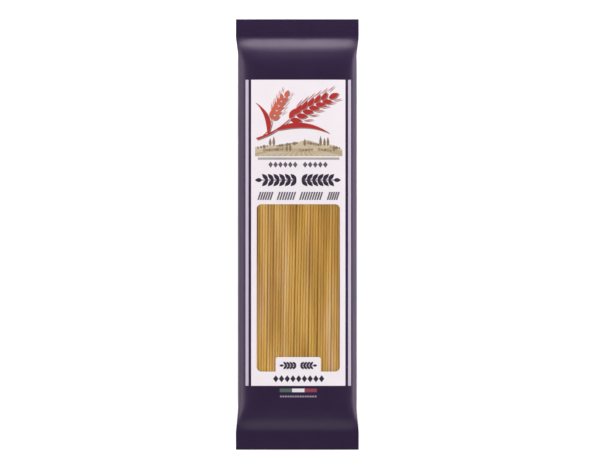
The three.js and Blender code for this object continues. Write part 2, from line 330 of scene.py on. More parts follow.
def ribbon(points, widths):
    """A tapered stroke along points."""
    left, right = [], []
    for i, (x, y) in enumerate(points):
        before = points[max(0, i - 1)]
        after = points[min(len(points) - 1, i + 1)]
        span = math.hypot(after[0] - before[0], after[1] - before[1])
        across = (-(after[1] - before[1]) / span, (after[0] - before[0]) / span)
        left.append((x + across[0] * widths[i] / 2, y + across[1] * widths[i] / 2))
        right.append((x - across[0] * widths[i] / 2, y - across[1] * widths[i] / 2))
    return right + left[::-1]


# %% The panel, the window, the stripes and the small flag bar
PANEL_HALF = 32.75
PANEL_TOP = 107.5
PANEL_BOTTOM = -105.1
STRIPE_INNER = 34.6
STRIPE_OUTER = 36.65
WINDOW_HALF = 28.9
WINDOW_TOP = 21.0
WINDOW_BOTTOM = -95.2
WINDOW_RADIUS = 3.3
TAB_HALF = 15.7
TAB_TOP = -85.1
TAB_RADIUS = 1.5
BAR_HALF = 12.9
BAR_TOP = -107.0
BAR_BOTTOM = -109.5

print_fields = [("white", box(-PANEL_HALF, PANEL_BOTTOM, PANEL_HALF, PANEL_TOP))]
for side in (-1, 1):
    left, right = sorted((side * STRIPE_INNER, side * STRIPE_OUTER))
    print_fields.append(("lilac", box(left, PANEL_BOTTOM, right, PANEL_TOP)))
for place, ink in enumerate(("green", "flag_white", "flag_red")):
    left = -BAR_HALF + place * BAR_HALF * 2 / 3
    print_fields.append((ink, box(left, BAR_BOTTOM, left + BAR_HALF * 2 / 3, BAR_TOP)))

window = arc(WINDOW_HALF - WINDOW_RADIUS, WINDOW_BOTTOM + WINDOW_RADIUS, WINDOW_RADIUS, -90, 0)
window += arc(WINDOW_HALF - WINDOW_RADIUS, WINDOW_TOP - WINDOW_RADIUS, WINDOW_RADIUS, 0, 90)
window += arc(-WINDOW_HALF + WINDOW_RADIUS, WINDOW_TOP - WINDOW_RADIUS, WINDOW_RADIUS, 90, 180)
window += arc(-WINDOW_HALF + WINDOW_RADIUS, WINDOW_BOTTOM + WINDOW_RADIUS, WINDOW_RADIUS, 180, 270)
window.append((-TAB_HALF, WINDOW_BOTTOM))
window += arc(-TAB_HALF + TAB_RADIUS, TAB_TOP - TAB_RADIUS, TAB_RADIUS, 180, 90)
window += arc(TAB_HALF - TAB_RADIUS, TAB_TOP - TAB_RADIUS, TAB_RADIUS, 90, 0)
window.append((TAB_HALF, WINDOW_BOTTOM))
print_fields.append(("clear", window))
print(f"{len(print_fields)} large fields, the window among them")

# %% [markdown]
# Two ears of wheat
#
# The top of the panel carries two generic red ears of wheat that climb to the right. Each has a curved
# stalk, pairs of kernels and thin bristles, and the large one also has two arching leaves. They could be
# traced as one outline, but an ear is a repeated thing, so a loop sets kernel after kernel along the
# stalk. Each shape is laid twice, first as a grey-brown shadow a little lower and to the right, then in
# red. Most sizes inside an ear are shares of its kernel's length.


# %% Strokes that bend and taper
BLADE_STEPS = 22
BLADE_TIP = 0.25


def bend(start, end, bow, count):
    """Points from start to end along a shallow bow, which is how far its middle stands to the left."""
    points = []
    for i in range(count + 1):
        share = i / count
        lift = bow * 4 * share * (1 - share)
        span = math.hypot(end[0] - start[0], end[1] - start[1])
        across = (-(end[1] - start[1]) / span, (end[0] - start[0]) / span)
        x = start[0] + (end[0] - start[0]) * share + across[0] * lift
        y = start[1] + (end[1] - start[1]) * share + across[1] * lift
        points.append((x, y))
    return points


def taper(count, thick, thin):
    return [thick + (thin - thick) * i / count for i in range(count + 1)]


def blade(start, end, bow, width):
    """A long leaf that is widest a third of the way along."""
    shares = [i / BLADE_STEPS for i in range(BLADE_STEPS + 1)]
    widths = [BLADE_TIP + width * math.sin(math.pi * share**0.7) for share in shares]
    return ribbon(bend(start, end, bow, BLADE_STEPS), widths)


# %% Ears of wheat
STALK_STEPS = 14
STALK_BOW = -1.6
STALK_FOOT = 0.16
STALK_NECK = 0.09
SPINE_BOW = 0.14
KERNEL_SHRINK = 0.03
KERNEL_WIDTH = 0.44
KERNEL_ASIDE = 0.07
KERNEL_ANGLE = 31
KERNEL_CLOSING = 1.5
TIP_LENGTH = 0.95
BRISTLE_START = 1.05
BRISTLE_LENGTH = 0.95
BRISTLE_WIDTH = 0.09
BRISTLE_TURN = 9
SHADOW_STEP = (0.8, -0.8)


def ear_of_wheat(foot, neck, tip, pairs, kernel):
    """A stalk from foot to neck, and pairs of kernels from there to the tip."""
    stalk = bend(foot, neck, STALK_BOW, STALK_STEPS)
    shapes = [ribbon(stalk, taper(STALK_STEPS, STALK_FOOT * kernel, STALK_NECK * kernel))]
    spine = bend(neck, tip, SPINE_BOW * kernel, pairs)
    climb = math.degrees(math.atan2(tip[1] - neck[1], tip[0] - neck[0]))
    for place, (x, y) in enumerate(spine[:-1]):
        size = kernel * (1 - KERNEL_SHRINK * place)
        for side in (-1, 1):
            root = turned([(0, side * KERNEL_ASIDE * kernel)], x, y, climb)[0]
            angle = climb + side * (KERNEL_ANGLE - KERNEL_CLOSING * place)
            shapes.append(leaf(*root, size, KERNEL_WIDTH * size, angle))
            top = turned([(BRISTLE_START * size, 0)], *root, angle)[0]
            bristle_angle = angle - side * BRISTLE_TURN
            shapes.append(leaf(*top, BRISTLE_LENGTH * size, BRISTLE_WIDTH * size, bristle_angle))
    shapes.append(leaf(*spine[-1], TIP_LENGTH * kernel, KERNEL_WIDTH * kernel, climb))
    return shapes


small_ear = ear_of_wheat(foot=(-24.5, 68.5), neck=(-18.5, 80.0), tip=(-9.5, 95.5), pairs=5, kernel=6.0)
large_ear = ear_of_wheat(foot=(-29.0, 66.5), neck=(-6.0, 80.0), tip=(21.0, 94.5), pairs=6, kernel=8.4)
large_ear.append(blade(start=(-16.0, 72.6), end=(21.5, 70.5), bow=4.4, width=3.3))
large_ear.append(blade(start=(-21.0, 69.5), end=(-29.5, 91.5), bow=-3.4, width=2.9))
for shape in small_ear + large_ear:
    print_fields.append(("ear_shadow", [(x + SHADOW_STEP[0], y + SHADOW_STEP[1]) for x, y in shape]))
for shape in small_ear:
    print_fields.append(("orange_red", shape))
for shape in large_ear:
    print_fields.append(("red", shape))
print(f"The ears have {len(small_ear) + len(large_ear)} shapes")

# %% [markdown]
# The strip of fields
#
# Below the ears runs a pale sepia strip of low hills with ploughed furrows, hedges and a few upright
# trees: bands whose top edge is a sum of two waves, furrows that fan out from one far point, rows of
# round bushes, and pointed leaves standing on end. All of it stays pale, so that the ears above it lead.

# %% Hills, furrows and trees
STRIP_LEFT = -30.0
STRIP_RIGHT = 30.6
STRIP_BOTTOM = 54.4
STRIP_ENDS = 9
STRIP_FALL = 2.5
HILL_STEPS = 44
BUSH_PITCH = 1.5
BUSH_SIZE = 0.95
BUSH_SPREAD = 0.25
TREE_FULLNESS = 0.36


def hill(base, height, length, shift):
    """A band of land from the strip's foot up to a wavy skyline."""
    skyline = []
    for i in range(HILL_STEPS + 1):
        x = STRIP_LEFT + (STRIP_RIGHT - STRIP_LEFT) * i / HILL_STEPS
        ends = min(1, (x - STRIP_LEFT) / STRIP_ENDS, (STRIP_RIGHT - x) / STRIP_ENDS)
        wave = math.sin(2 * math.pi * x / length + shift) + 0.5 * math.sin(4.6 * math.pi * x / length)
        skyline.append((x, base + (height * wave - STRIP_FALL * (1 - ends))))
    return [(STRIP_LEFT, STRIP_BOTTOM), (STRIP_RIGHT, STRIP_BOTTOM)] + skyline[::-1]


def tree(x, y, height, width):
    return leaf(x, y, height, width, 90, TREE_FULLNESS)


def hedge(start, end, y, rise):
    """A row of round bushes of uneven size, from start to end, climbing by rise."""
    count = round((end - start) / BUSH_PITCH)
    for place in range(count):
        share = place / max(1, count - 1)
        size = BUSH_SIZE + BUSH_SPREAD * math.sin(2.3 * place + start)
        ink = "sepia_dark" if place % 3 else "sepia_bush"
        print_fields.append((ink, dot(start + (end - start) * share, y + rise * share, size)))


# %% The strip from far to near
FAR_TREES = ((-19.5, 5.6), (-17.0, 6.8), (4.5, 5.2), (15.5, 7.2), (18.2, 5.8), (20.6, 6.6))
FAR_TREES_FOOT = 61.4
NEAR_TREES = ((-8.0, 5.0), (-5.6, 6.2), (24.8, 4.6))
NEAR_TREES_FOOT = 57.6
FURROWS = 15
FURROW_MARGIN = 2.2
FURROW_FOOT = STRIP_BOTTOM + 0.3
FURROW_TOP = 57.6
FURROW_WIDTHS = [1.25, 1.0, 0.75, 0.5]
FAR_POINT_X = 2.0
FAR_SHARE = 0.62

print_fields.append(("sepia_pale", hill(base=63.0, height=1.7, length=47, shift=0.6)))
for x, height in FAR_TREES:
    print_fields.append(("sepia_dark", tree(x, FAR_TREES_FOOT, height, width=1.9)))
hedge(start=-28.0, end=-21.5, y=60.4, rise=1.0)
hedge(start=-14.5, end=-1.0, y=61.4, rise=2.1)
hedge(start=7.0, end=14.0, y=63.6, rise=-1.4)
hedge(start=22.5, end=28.5, y=60.6, rise=-0.6)
print_fields.append(("sepia_mid", hill(base=59.6, height=1.2, length=38, shift=2.9)))
hedge(start=-23.5, end=-11.0, y=58.6, rise=0.6)
hedge(start=1.5, end=9.5, y=58.3, rise=0.7)
hedge(start=14.5, end=22.5, y=59.2, rise=-1.0)
for x, height in NEAR_TREES:
    print_fields.append(("sepia_dark", tree(x, NEAR_TREES_FOOT, height, width=1.7)))
for place in range(FURROWS):
    foot = STRIP_LEFT + FURROW_MARGIN
    foot += (STRIP_RIGHT - STRIP_LEFT - 2 * FURROW_MARGIN) * place / (FURROWS - 1)
    far = FAR_POINT_X + (foot - FAR_POINT_X) * FAR_SHARE
    furrow = bend((foot, FURROW_FOOT), (far, FURROW_TOP), bow=0.25, count=3)
    print_fields.append(("sepia_pale", ribbon(furrow, FURROW_WIDTHS)))
print_fields.append(("grey", box(left=-28.1, bottom=51.9, right=28.6, top=53.5)))
print(f"{len(print_fields)} fields so far")

# %% [markdown]
# Ornament rows
#
# Rows of ornament stand above the window, on its tab and below it: leafy branches for the bold rows, a
# rope of slanted strokes for the fine one, and lozenges and dots for the smallest. Each row is a loop
# over one motif between two x values, and most sizes inside a motif are shares of the row's height.


# %% Rows of small motifs
BRANCH_PITCH = 0.56
BRANCH_ANGLE = 46
LEAF_LENGTH = 0.72
LEAF_WIDTH = 0.34
TIP_LEAF = 0.62
STEM_WIDTHS = (0.1, 0.06)
STEM_SHORT = 0.3
ROPE_PITCH = 1.95
ROPE_SLANT = 0.32
ROPE_HALF = 0.58
LOZENGE_PITCH = 0.82
LOZENGE_HALF = 0.47


def branch(start, end, y, height, ink):
    """A leafy branch lying along y, from start towards end."""
    heading = 0 if end > start else 180
    length = abs(end - start)
    pairs = max(2, round(length / (height * BRANCH_PITCH)))
    pitch = (length - height * TIP_LEAF) / pairs
    stem = [(start, y), (end - math.copysign(height * STEM_SHORT, end - start), y)]
    print_fields.append((ink, ribbon(stem, [height * width for width in STEM_WIDTHS])))
    for place in range(pairs):
        x = start + math.copysign(pitch * place, end - start)
        for side in (-1, 1):
            angle = heading + side * BRANCH_ANGLE
            print_fields.append((ink, leaf(x, y, height * LEAF_LENGTH, height * LEAF_WIDTH, angle)))
    tip = start + math.copysign(pitch * pairs, end - start)
    print_fields.append((ink, leaf(tip, y, height * TIP_LEAF, height * LEAF_WIDTH, heading)))


def rope(start, end, y, height, ink):
    """A row of slanted strokes."""
    count = max(2, round((end - start) / ROPE_PITCH))
    slant = height * ROPE_SLANT
    low, high = y - height / 2, y + height / 2
    for place in range(count):
        x = start + (end - start - slant) * (place + 0.5) / count
        stroke = [(x - ROPE_HALF, low), (x + ROPE_HALF, low)]
        stroke += [(x + slant + ROPE_HALF, high), (x + slant - ROPE_HALF, high)]
        print_fields.append((ink, stroke))


def lozenges(start, end, y, height, ink):
    count = max(2, round((end - start) / (height * LOZENGE_PITCH)))
    for place in range(count):
        x = start + (end - start) * (place + 0.5) / count
        half = (end - start) / count * LOZENGE_HALF
        diamond = [(x, y - height / 2), (x + half, y), (x, y + height / 2), (x - half, y)]
        print_fields.append((ink, diamond))


# %% The rows from top to bottom
DOTS = 15
DOT_RADIUS = 0.71
DOT_ROW = -112.5

for start, end in ((-20.9, -0.4), (3.0, 20.6)):
    lozenges(start, end, y=48.5, height=4.3, ink="soft_dark")
for start, end in ((-1.2, -30.2), (2.3, 29.7)):
    branch(start, end, y=37.8, height=8.4, ink="dark")
for start, end in ((-28.7, -16.9), (-15.4, -1.1), (0.2, 17.6), (19.5, 29.1)):
    rope(start, end, y=26.8, height=5.6, ink="soft_dark")
for start, end in ((-1.4, -13.2), (1.4, 13.2)):
    branch(start, end, y=-91.0, height=5.2, ink="dark")
lozenges(start=-17.6, end=18.2, y=-100.2, height=5.0, ink="dark")
for place in range(DOTS):
    x = -BAR_HALF + 2 * BAR_HALF * (place + 0.5) / DOTS
    print_fields.append(("mauve", dot(x, DOT_ROW, DOT_RADIUS)))
print(f"{len(print_fields)} printed fields in all")

# %% [markdown]
# Cutting the print into the sheet
#
# The sheet is a grid of quads, except on a patch of the front that carries the print. There, a
# constrained Delaunay triangulation takes grid points and outlines together and returns triangles whose
# edges follow every outline. It also says which outlines each triangle lies in, so the last one laid
# names its ink. Painting the print as an image would be quicker, but its edges would blur up close.


# %% Stations of the sheet
def spaced(start, end, step):
    count = max(1, round(abs(end - start) / step))
    return list(np.linspace(start, end, count + 1))[:-1]


PATCH_HALF_X = 38.4
PATCH_HALF = float(along_film(np.array([PATCH_HALF_X]))[0])
PATCH_TOP = 110.0
PATCH_BOTTOM = -116.0
FRONT_STEP = 1.6
SIDE_STEP = 0.8
TUCK_STEP = 0.9
BACK_STEP = 2.1
SEAL_STEP = 0.25
SHOULDER_STEP = 0.8
BODY_STEP = 2.0

half_columns = spaced(0, PATCH_HALF, FRONT_STEP) + spaced(PATCH_HALF, SEAL_HALF, SIDE_STEP)
half_columns += spaced(SEAL_HALF, FRONT_LENGTH, SIDE_STEP)
half_columns += spaced(FRONT_LENGTH, HALF_ROUND - SEAL_HALF, TUCK_STEP)
half_columns += spaced(HALF_ROUND - SEAL_HALF, HALF_ROUND, BACK_STEP) + [HALF_ROUND]
columns = [-value for value in reversed(half_columns[1:])] + half_columns
rows = spaced(-PACK_END, -INNER_END, SEAL_STEP) + spaced(-INNER_END, PATCH_BOTTOM, SHOULDER_STEP)
rows += spaced(PATCH_BOTTOM, PATCH_TOP, BODY_STEP) + spaced(PATCH_TOP, INNER_END, SHOULDER_STEP)
rows += spaced(INNER_END, PACK_END, SEAL_STEP) + [PACK_END]
print(f"The sheet has {len(columns)} columns and {len(rows)} rows")


# %% Print outlines on the flat sheet
def counter_clockwise(points):
    area = sum(ax * by - bx * ay for (ax, ay), (bx, by) in zip(points, points[1:] + points[:1]))
    return points if area > 0 else points[::-1]


def finely(points, step):
    """An outline with its long edges cut into steps, so that it follows the bent film."""
    fine = []
    for (ax, ay), (bx, by) in zip(points, points[1:] + points[:1]):
        count = max(1, math.ceil(math.hypot(bx - ax, by - ay) / step))
        fine += [(ax + (bx - ax) * i / count, ay + (by - ay) * i / count) for i in range(count)]
    return fine


inks = [ink for ink, _ in print_fields]
outlines = []
for _, points in print_fields:
    fine = np.array(finely(counter_clockwise(points), FRONT_STEP))
    outlines.append(np.column_stack([along_film(fine[:, 0] + PRINT_SHIFT), fine[:, 1]]))
outline_points = np.concatenate(outlines)
print(f"{len(outline_points)} outline points")

# %% Grid points of the patch that keep clear of the outlines
CLEARANCE = 0.45
NEARBY = 3
patch_columns = [value for value in columns if abs(value) <= PATCH_HALF + TINY]
patch_rows = [value for value in rows if PATCH_BOTTOM - TINY <= value <= PATCH_TOP + TINY]
grid = np.array([(along, y) for y in patch_rows for along in patch_columns])
at_rim = (np.abs(grid[:, 0]) > PATCH_HALF - TINY) | (grid[:, 1] < PATCH_BOTTOM + TINY)
at_rim |= grid[:, 1] > PATCH_TOP - TINY
nearest = np.full(len(grid), np.inf)
for outline in outlines:
    ends = np.roll(outline, -1, axis=0)
    for (ax, ay), (bx, by) in zip(outline, ends):
        close = (np.abs(grid[:, 0] - ax) < NEARBY) & (np.abs(grid[:, 1] - ay) < NEARBY)
        if close.any():
            edge = np.array([bx - ax, by - ay])
            offset = grid[close] - (ax, ay)
            share = np.clip(offset @ edge / max(edge @ edge, TINY**2), 0, 1)
            away = np.linalg.norm(offset - share[:, None] * edge, axis=1)
            nearest[close] = np.minimum(nearest[close], away)
kept = grid[at_rim | (nearest > CLEARANCE)]
print(f"{len(kept)} of {len(grid)} grid points kept")

# %% Triangulate the patch
WELD_DISTANCE = 1e-5
points = [tuple(point) for point in kept] + [tuple(point) for point in outline_points]
loops = []
first = len(kept)
for outline in outlines:
    loops.append(list(range(first, first + len(outline))))
    first += len(outline)
flat_points, _, flat_faces, _, _, face_sources = delaunay_2d_cdt(points, [], loops, 0, WELD_DISTANCE, True)
face_inks = [inks[max(sources)] if sources else "plum" for sources in face_sources]
print(f"{len(flat_faces)} triangles on the patch")

# %% [markdown]
# One mesh from quads and triangles
#
# The patch and the grid share the points along the patch's rim. A dictionary keyed by the place on the
# sheet gives each place one vertex, whichever side asks for it, and so welds the two without a tolerance
# search. Triangles inside the window go to a second mesh, the clear pane, whose rim has the same points.


# %% Collect the faces of the film and of the pane
class Sheet:
    """Faces over places on the sheet, with one vertex for each place."""

    def __init__(self):
        self.index = {}
        self.places = []
        self.faces = []
        self.inks = []

    def vertex(self, along, y):
        wrapped = HALF_ROUND if along <= -HALF_ROUND + TINY else along
        key = (round(wrapped, 4), round(y, 4))
        if key not in self.index:
            self.index[key] = len(self.places)
            self.places.append((wrapped, y))
        return self.index[key]

    def add(self, corners, ink):
        face = [self.vertex(along, y) for along, y in corners]
        if len(set(face)) > 2:
            self.faces.append(face)
            self.inks.append(ink)


film = Sheet()
pane = Sheet()
for face, ink in zip(flat_faces, face_inks):
    corners = [tuple(flat_points[i]) for i in face]
    (pane if ink == "clear" else film).add(corners, ink)
for low, high in zip(rows, rows[1:]):
    for left, right in zip(columns, columns[1:]):
        in_columns = left >= -PATCH_HALF - TINY and right <= PATCH_HALF + TINY
        in_rows = low >= PATCH_BOTTOM - TINY and high <= PATCH_TOP + TINY
        if not (in_columns and in_rows):
            film.add([(left, low), (right, low), (right, high), (left, high)], "plum")
print(f"Film: {len(film.faces)} faces. Pane: {len(pane.faces)} faces")

# %% [markdown]
# Inks
#
# Printed film is a satin plastic. Its colour is slightly mottled where the ink is thinner, and its gloss
# varies as the film was handled. It also shows, very faintly, the strands that press against it from
# inside. All inks share those traits, so one function makes them, and only the colour differs. The
# texture is placed by object coordinates, which are metres here, so it keeps its real scale.


# %% Helpers for shader nodes
def set_inputs(made, **settings):
    """Set a node's inputs by name, with _ for each space in the name."""
    for name, value in settings.items():
        made.inputs[name.replace("_", " ")].default_value = value
    return made


def node(tree, kind, place, **settings):
    """A new shader node at its place in the node editor, with its inputs set."""
    made = tree.nodes.new(kind)
    made.location = place
    return set_inputs(made, **settings)


def wire(source, output, target, entry):
    """Join an output of one node to an input of another."""
    target.id_data.links.new(source.outputs[output], target.inputs[entry])


def colour_ramp(tree, place, stops):
    """A ramp through stops, each of them a position and a colour."""
    made = node(tree, "ShaderNodeValToRGB", place)
    elements = made.color_ramp.elements
    for element, (position, colour) in ((elements[0], stops[0]), (elements[1], stops[-1])):
        element.position = position
        element.color = colour
    for position, colour in stops[1:-1]:
        elements.new(position).color = colour
    return made


def linear(red, green, blue):
    """A colour on the usual scale of 0 to 255, as the linear colour that shaders use."""
    shares = [value / 255 for value in (red, green, blue)]
    spread = [s / 12.92 if s <= 0.04045 else ((s + 0.055) / 1.055) ** 2.4 for s in shares]
    return (*spread, 1)


# %% A function for film inks
FILM_ROUGHNESS = 0.36
GLOSS_SPREAD = 0.07
STRAND_BANDS = 161


def film_ink(name, colour, mottle):
    material = bpy.data.materials.new("ink_" + name)
    material.use_nodes = True
    tree = material.node_tree
    shader = tree.nodes["Principled BSDF"]
    place = node(tree, "ShaderNodeTexCoord", (-1300, 0))
    patches = node(tree, "ShaderNodeTexNoise", (-1050, 250), Scale=85, Detail=4, Roughness=0.6)
    thin = node(tree, "ShaderNodeMapRange", (-850, 250), From_Min=0.3, From_Max=0.7)
    set_inputs(thin, To_Min=1 - mottle, To_Max=1 + mottle)
    tint = node(tree, "ShaderNodeVectorMath", (-600, 250))
    tint.operation = "SCALE"
    tint.inputs[0].default_value = colour[:3]
    wire(place, "Object", patches, "Vector")
    wire(patches, "Fac", thin, "Value")
    wire(thin, "Result", tint, "Scale")
    wire(tint, "Vector", shader, "Base Color")
    film_finish(tree, shader, place)
    return material


def film_finish(tree, shader, place):
    """Gloss that varies softly, fine grain, and the faint print of the strands beneath."""
    handled = node(tree, "ShaderNodeTexNoise", (-1050, -50), Scale=30, Detail=3)
    gloss = node(tree, "ShaderNodeMapRange", (-850, -50))
    set_inputs(gloss, To_Min=FILM_ROUGHNESS - GLOSS_SPREAD, To_Max=FILM_ROUGHNESS + GLOSS_SPREAD)
    strands = node(tree, "ShaderNodeTexWave", (-1050, -300), Scale=STRAND_BANDS, Distortion=1.2)
    set_inputs(strands, Detail=1, Detail_Scale=0.15)
    grain = node(tree, "ShaderNodeTexNoise", (-1050, -600), Scale=1400, Detail=2)
    lines = node(tree, "ShaderNodeBump", (-600, -300), Strength=0.12, Distance=0.0001)
    pores = node(tree, "ShaderNodeBump", (-350, -400), Strength=0.1, Distance=0.00004)
    for texture in (handled, strands, grain):
        wire(place, "Object", texture, "Vector")
    wire(handled, "Fac", gloss, "Value")
    wire(gloss, "Result", shader, "Roughness")
    wire(strands, "Fac", lines, "Height")
    wire(grain, "Fac", pores, "Height")
    wire(lines, "Normal", pores, "Normal")
    wire(pores, "Normal", shader, "Normal")


# %% The inks
INK_COLOURS = {
    "plum": linear(38, 24, 54),
    "white": linear(236, 228, 233),
    "lilac": linear(193, 180, 199),
    "red": linear(176, 38, 36),
    "orange_red": linear(206, 92, 66),
    "ear_shadow": linear(150, 114, 112),
    "sepia_pale": linear(198, 181, 154),
    "sepia_mid": linear(180, 161, 132),
    "sepia_bush": linear(160, 140, 112),
    "sepia_dark": linear(134, 113, 88),
    "grey": linear(166, 158, 158),
    "dark": linear(48, 36, 56),
    "soft_dark": linear(94, 84, 97),
    "green": linear(77, 98, 87),
    "flag_white": linear(222, 216, 222),
    "flag_red": linear(137, 55, 74),
    "mauve": linear(150, 134, 154),
}
MOTTLE = 0.08
EVEN_MOTTLE = 0.015
EVEN_INKS = ("white", "lilac", "flag_white")
PLUM_GLOSS = (1.0, 0.86, 1.0, 1)

ink_materials = {}
for name, colour in INK_COLOURS.items():
    ink_materials[name] = film_ink(name, colour, EVEN_MOTTLE if name in EVEN_INKS else MOTTLE)
set_inputs(ink_materials["plum"].node_tree.nodes["Principled BSDF"], Specular_Tint=PLUM_GLOSS)
print(f"{len(ink_materials)} inks")

# %% [markdown]
# Clear film
#
# The pane is the same film without ink. Light goes straight through it, and only its surface shines,
# more at a glancing angle. A glass shader would bend the light, which film is far too thin to do, so a
# transparent shader is mixed with a glossy one. The Fresnel node reads the film's underside as the inside
# of thick glass and shuts out slanting light there. The share is therefore made from Layer Weight, which
# is the same from both sides: 4% head on, and rising with the fifth power of how slanting the view is.
# A trace of white diffuse light is the haze that every such film has.

# %% Clear film material
clear_film = bpy.data.materials.new("clear_film")
clear_film.use_nodes = True
tree = clear_film.node_tree
tree.nodes.remove(tree.nodes["Principled BSDF"])
through = node(tree, "ShaderNodeBsdfTransparent", (-300, 150), Color=(0.975, 0.965, 0.95, 1))
shine = node(tree, "ShaderNodeBsdfAnisotropic", (-300, -50), Roughness=0.16)
slant = node(tree, "ShaderNodeLayerWeight", (-850, 350), Blend=0.5)
fifth_power = node(tree, "ShaderNodeMath", (-600, 350))
fifth_power.operation = "POWER"
fifth_power.inputs[1].default_value = 5
angle_share = node(tree, "ShaderNodeMapRange", (-300, 350), To_Min=0.04)
mixed = node(tree, "ShaderNodeMixShader", (0, 0))
place = node(tree, "ShaderNodeTexCoord", (-1100, -200))
slack = node(tree, "ShaderNodeTexNoise", (-850, -200), Scale=45, Detail=2)
dents = node(tree, "ShaderNodeBump", (-600, -200), Strength=0.25, Distance=0.0004)
wire(place, "Object", slack, "Vector")
wire(slack, "Fac", dents, "Height")
wire(dents, "Normal", shine, "Normal")
wire(slant, "Facing", fifth_power, 0)
wire(fifth_power, "Value", angle_share, "Value")
wire(angle_share, "Result", mixed, "Fac")
wire(through, "BSDF", mixed, 1)
wire(shine, "BSDF", mixed, 2)
haze = node(tree, "ShaderNodeBsdfDiffuse", (0, -200), Color=(0.9, 0.9, 0.92, 1))
hazy = node(tree, "ShaderNodeMixShader", (250, 0), Fac=0.008)
wire(mixed, "Shader", hazy, 1)
wire(haze, "BSDF", hazy, 2)
wire(hazy, "Shader", tree.nodes["Material Output"], "Surface")
print("Clear film is ready")


# %% Make the film and the pane
FILM_THICKNESS = 0.09
SHARP_ANGLE = math.radians(55)


def piece_from(name, vertices, faces, materials, face_materials=None):
    """A smooth mesh object from vertices in metres."""
    mesh = bpy.data.meshes.new(name)
    mesh.from_pydata([tuple(v) for v in vertices], [], faces)
    for material in materials:
        mesh.materials.append(material)
    if face_materials is not None:
        mesh.polygons.foreach_set("material_index", face_materials)
    mesh.polygons.foreach_set("use_smooth", [True] * len(mesh.polygons))
    mesh.set_sharp_from_angle(angle=SHARP_ANGLE)
    mesh.update()
    made = bpy.data.objects.new(name, mesh)
    bpy.context.scene.collection.objects.link(made)
    return made


def thicken(made):
    """Give a sheet its thickness inwards, with crisp edges where it was cut."""
    skin = made.modifiers.new("film thickness", "SOLIDIFY")
    skin.thickness = FILM_THICKNESS * MM
    skin.offset = -1
    thick = made.evaluated_get(bpy.context.evaluated_depsgraph_get())
    made.data = bpy.data.meshes.new_from_object(thick)
    made.modifiers.clear()
    made.data.set_sharp_from_angle(angle=SHARP_ANGLE)


def sheet_piece(name, sheet, materials):
    places = np.array(sheet.places)
    order = list(materials)
    numbers = [order.index(ink) for ink in sheet.inks]
    vertices = film_points(places[:, 0], places[:, 1])
    made = piece_from(name, vertices, sheet.faces, materials.values(), numbers)
    thicken(made)
    return made


wrap = sheet_piece("film_wrap", film, ink_materials)
window_pane = sheet_piece("window_pane", pane, {"clear": clear_film})
print(f"Film wrap: {len(wrap.data.polygons)} faces, window pane: {len(window_pane.data.polygons)} faces")

# %% [markdown]
# The back seam
#
# The sheet's two long edges are welded together face to face down the back, and the fin that this makes
# is folded flat. It is a strip as long as the packet. It lies in a shallow channel, so the packet still
# rests flat. Its weld was pressed between ribbed rollers, so fine ribs run along it.

# %% Back seam
SEAM_WIDTH = 11.0
SEAM_SHORT = 0.4
SEAM_COLUMNS = 44
SEAM_RIBS = 7
SEAM_RIB_HEIGHT = 0.05
SEAM_GAP = 0.03
SEALED_SHARE = 0.45
WELD_BEGINS = (-0.5, 0.5)
WELD_ENDS = (4.3, 5.0)
EDGE_LIFT = 0.05
EDGE_BEGINS = (4.5, 5.5)
SEAM_END = PACK_END - SEAM_SHORT
seam_rows = [-SEAM_END] + [y for y in rows if abs(y) < INNER_END + SEAL_STEP / 2] + [SEAM_END]


def seam_point(across, y, outer):
    """A point of the folded fin: on its outer face, or on the face against the film."""
    _, film_z = film_place(np.array([HALF_ROUND]), np.array([y]))
    rise, _ = closing(np.array([y]))
    thickness = SEAM_THICKNESS * (SEALED_SHARE + (1 - SEALED_SHARE) * rise[0])
    rib_zone = smoothstep(across, *WELD_BEGINS) * (1 - smoothstep(across, *WELD_ENDS))
    wave = 0.5 + 0.5 * math.sin(2 * math.pi * across * SEAM_RIBS / (SEAM_WIDTH / 2))
    lifted = EDGE_LIFT * smoothstep(across, *EDGE_BEGINS)
    face = film_z[0] - SEAM_GAP
    if outer:
        face -= thickness - SEAM_GAP - float(rib_zone) * SEAM_RIB_HEIGHT * wave - float(lifted)
    return (across * MM, y * MM, face * MM)


def tube_faces(first, rings, sides):
    """Faces of a closed tube whose vertices are listed ring after ring, from number first on."""
    faces = []
    for ring in range(rings - 1):
        for i in range(sides):
            a = first + ring * sides + i
            b = first + ring * sides + (i + 1) % sides
            faces.append((a, a + sides, b + sides, b))
    last = first + (rings - 1) * sides
    faces.append(tuple(first + i for i in range(sides)))
    faces.append(tuple(last + i for i in reversed(range(sides))))
    return faces


seam_across = np.linspace(-SEAM_WIDTH / 2, SEAM_WIDTH / 2, SEAM_COLUMNS + 1)
seam_vertices = []
for y in seam_rows:
    seam_vertices += [seam_point(across, y, True) for across in seam_across]
    seam_vertices += [seam_point(across, y, False) for across in seam_across[::-1]]
seam_faces = tube_faces(0, len(seam_rows), 2 * len(seam_across))
back_seam = piece_from("back_seam", seam_vertices, seam_faces, [ink_materials["plum"]])
print(f"Back seam: {len(seam_faces)} faces")

# %% [markdown]
# Spaghetti
#
# Strands of one length lie side by side, but never quite parallel: the middle ones lean a little, so
# gaps open on their left at one end and on their right at the other. The order of the strands is the
# same all along, only their spacing changes. So spacings are drawn at five stations along the packet,
# never less than a strand's width, and every strand runs smoothly through its places there. Strands
# then can't cut into each other. Most nearly touch, and a few wider gaps show as brown lines.

